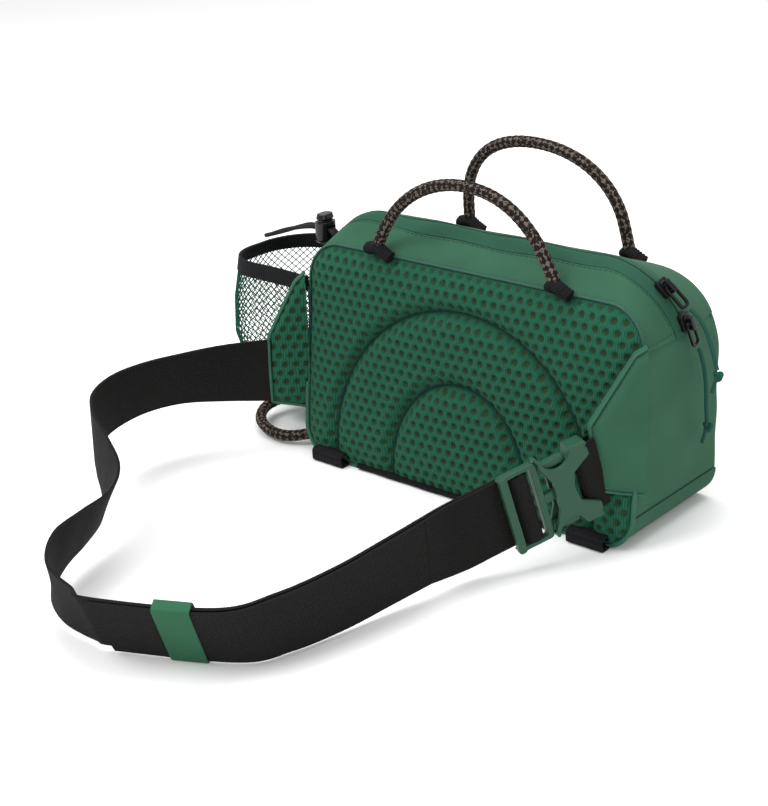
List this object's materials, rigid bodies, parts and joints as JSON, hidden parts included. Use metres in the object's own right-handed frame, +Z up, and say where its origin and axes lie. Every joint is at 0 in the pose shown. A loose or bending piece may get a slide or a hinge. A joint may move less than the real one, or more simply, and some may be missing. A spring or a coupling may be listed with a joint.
{
  "type": "waist pack",
  "caption": "Small lumbar waist pack with a quilted spacer-mesh back, curved top zipper, rope carry handles, net bottle pocket, padded wings and a webbing belt with a side-release buckle.",
  "frame": {"origin": "middle of the base, on the ground", "axes": "+X across the pack along its width; -Y towards the wearer, the way the mesh back faces; +Y outward, away from the wearer; +Z up"},
  "size_m": [0.3327, 0.3325, 0.1846],
  "materials": {
    "spacer_mesh": "open knit",
    "foam": "soft closed-cell foam",
    "lining": "satin",
    "shell_fabric": "matt woven",
    "zipper_tape": "ribbed",
    "zipper_coil": "satin",
    "slider_metal": "satin",
    "pull_cord": "braided",
    "black_rope": "braided",
    "net": "open net",
    "binding": "ribbed",
    "cord_lock_plastic": "gloss",
    "spring_steel": "bright",
    "bungee": "braided",
    "buckle_plastic": "satin",
    "webbing": "ribbed",
    "keeper_elastic": "elastic"
  },
  "bodies": {
    "bag": {"back_spacer_mesh": "spacer_mesh", "back_foam_pad": "foam", "back_lining": "lining", "base_panel": "shell_fabric", "side_panel_right": "shell_fabric", "side_panel_left": "shell_fabric", "front_panel": "shell_fabric", "top_band_rear": "shell_fabric", "top_band_front": "shell_fabric", "zipper_tape_rear": "zipper_tape", "zipper_tape_front": "zipper_tape", "zipper_coil": "zipper_coil", "back_handle_tabs": "black_rope", "front_handle_tabs": "black_rope", "bottle_pocket_net": "net", "bottle_pocket_floor": "shell_fabric", "bottle_pocket_binding": "binding", "cord_lock_barrel": "cord_lock_plastic", "cord_lock_spring": "spring_steel", "pocket_bungee": "bungee", "gear_loop": "black_rope", "base_piping": "binding", "lash_loop_left": "binding", "lash_loop_right": "binding", "wing_left_mesh": "spacer_mesh", "wing_left_foam": "foam", "wing_left_shell": "shell_fabric", "wing_right_shell": "shell_fabric", "wing_right_foam": "foam", "wing_right_mesh": "spacer_mesh", "buckle_socket": "buckle_plastic", "belt_stub": "webbing", "belt_webbing": "webbing", "belt_tail": "webbing", "front_pocket_panel": "shell_fabric", "front_pocket_zipper": "zipper_tape"},
    "upper_slider": {"upper_slider": "slider_metal"},
    "lower_slider": {"lower_slider": "slider_metal"},
    "upper_pull": {"upper_pull_loop": "slider_metal", "upper_pull_cord": "pull_cord", "upper_cord_knot": "pull_cord"},
    "lower_pull": {"lower_pull_loop": "slider_metal", "lower_pull_cord": "pull_cord", "lower_cord_knot": "pull_cord"},
    "back_handle": {"back_handle": "black_rope"},
    "front_handle": {"front_handle": "black_rope"},
    "buckle_frame": {"buckle_frame": "buckle_plastic", "belt_buckle_turn": "webbing"},
    "buckle_arm_upper": {"buckle_arm_upper": "buckle_plastic"},
    "buckle_arm_lower": {"buckle_arm_lower": "buckle_plastic"},
    "belt_keeper": {"belt_keeper": "keeper_elastic"},
    "cord_lock_plunger": {"cord_lock_plunger": "cord_lock_plastic"},
    "front_slider": {"front_slider": "slider_metal"},
    "front_pull": {"front_pull_loop": "slider_metal"}
  },
  "joints": [
    {"name": "upper_slider_travel", "type": "hinge", "parent": "bag", "child": "upper_slider", "pos_m": [0.074, 0.0043, 0.10705], "axis": [0, -0.9462, -0.3237], "range_deg": [0, 50]},
    {"name": "lower_slider_travel", "type": "hinge", "parent": "bag", "child": "lower_slider", "pos_m": [0.074, 0.0043, 0.10705], "axis": [0, -0.9462, -0.3237], "range_deg": [-3, 2]},
    {"name": "upper_pull_flip", "type": "hinge", "parent": "upper_slider", "child": "upper_pull", "pos_m": [0.10758, -0.00421, 0.13193], "axis": [0, -0.9462, -0.3237], "range_deg": [0, 100]},
    {"name": "lower_pull_flip", "type": "hinge", "parent": "lower_slider", "child": "lower_pull", "pos_m": [0.11623, 0.00236, 0.11271], "axis": [0, -0.9462, -0.3237], "range_deg": [0, 48]},
    {"name": "back_handle_fold", "type": "hinge", "parent": "bag", "child": "back_handle", "pos_m": [0, -0.0312, 0.1316], "axis": [1, 0, 0], "range_deg": [-25, 130]},
    {"name": "front_handle_fold", "type": "hinge", "parent": "bag", "child": "front_handle", "pos_m": [0, 0.038, 0.131], "axis": [1, 0, 0], "range_deg": [-105, 30]},
    {"name": "buckle_release", "type": "slide", "parent": "bag", "child": "buckle_frame", "axis": [-0.4306, -0.8636, -0.2622], "range_m": [0, 0.022]},
    {"name": "upper_arm_press", "type": "hinge", "parent": "buckle_frame", "child": "buckle_arm_upper", "pos_m": [0.08316, -0.08264, 0.05539], "axis": [-0.8949, 0.4462, 0], "range_deg": [0, 7], "stiffness_Nm_per_rad": 0.2, "springref_deg": -2.86},
    {"name": "lower_arm_press", "type": "hinge", "parent": "buckle_frame", "child": "buckle_arm_lower", "pos_m": [0.08723, -0.07448, 0.02181], "axis": [0.8949, -0.4462, 0], "range_deg": [0, 7], "stiffness_Nm_per_rad": 0.2, "springref_deg": -2.86},
    {"name": "keeper_slide", "type": "slide", "parent": "bag", "child": "belt_keeper", "axis": [0.8944, 0.4472, 0], "range_m": [-0.005, 0.005]},
    {"name": "cord_lock_press", "type": "slide", "parent": "bag", "child": "cord_lock_plunger", "axis": [0, 0, -1], "range_m": [0, 0.0012], "stiffness_N_per_m": 400, "springref_m": -0.001, "deforming": ["cord_lock_spring"]},
    {"name": "front_slider_slide", "type": "slide", "parent": "bag", "child": "front_slider", "axis": [-1, 0, 0], "range_m": [0, 0.14]},
    {"name": "front_pull_flip", "type": "hinge", "parent": "front_slider", "child": "front_pull", "pos_m": [0.06995, 0.0473, 0.0991], "axis": [0, 0, 1], "range_deg": [0, 100]}
  ]
}
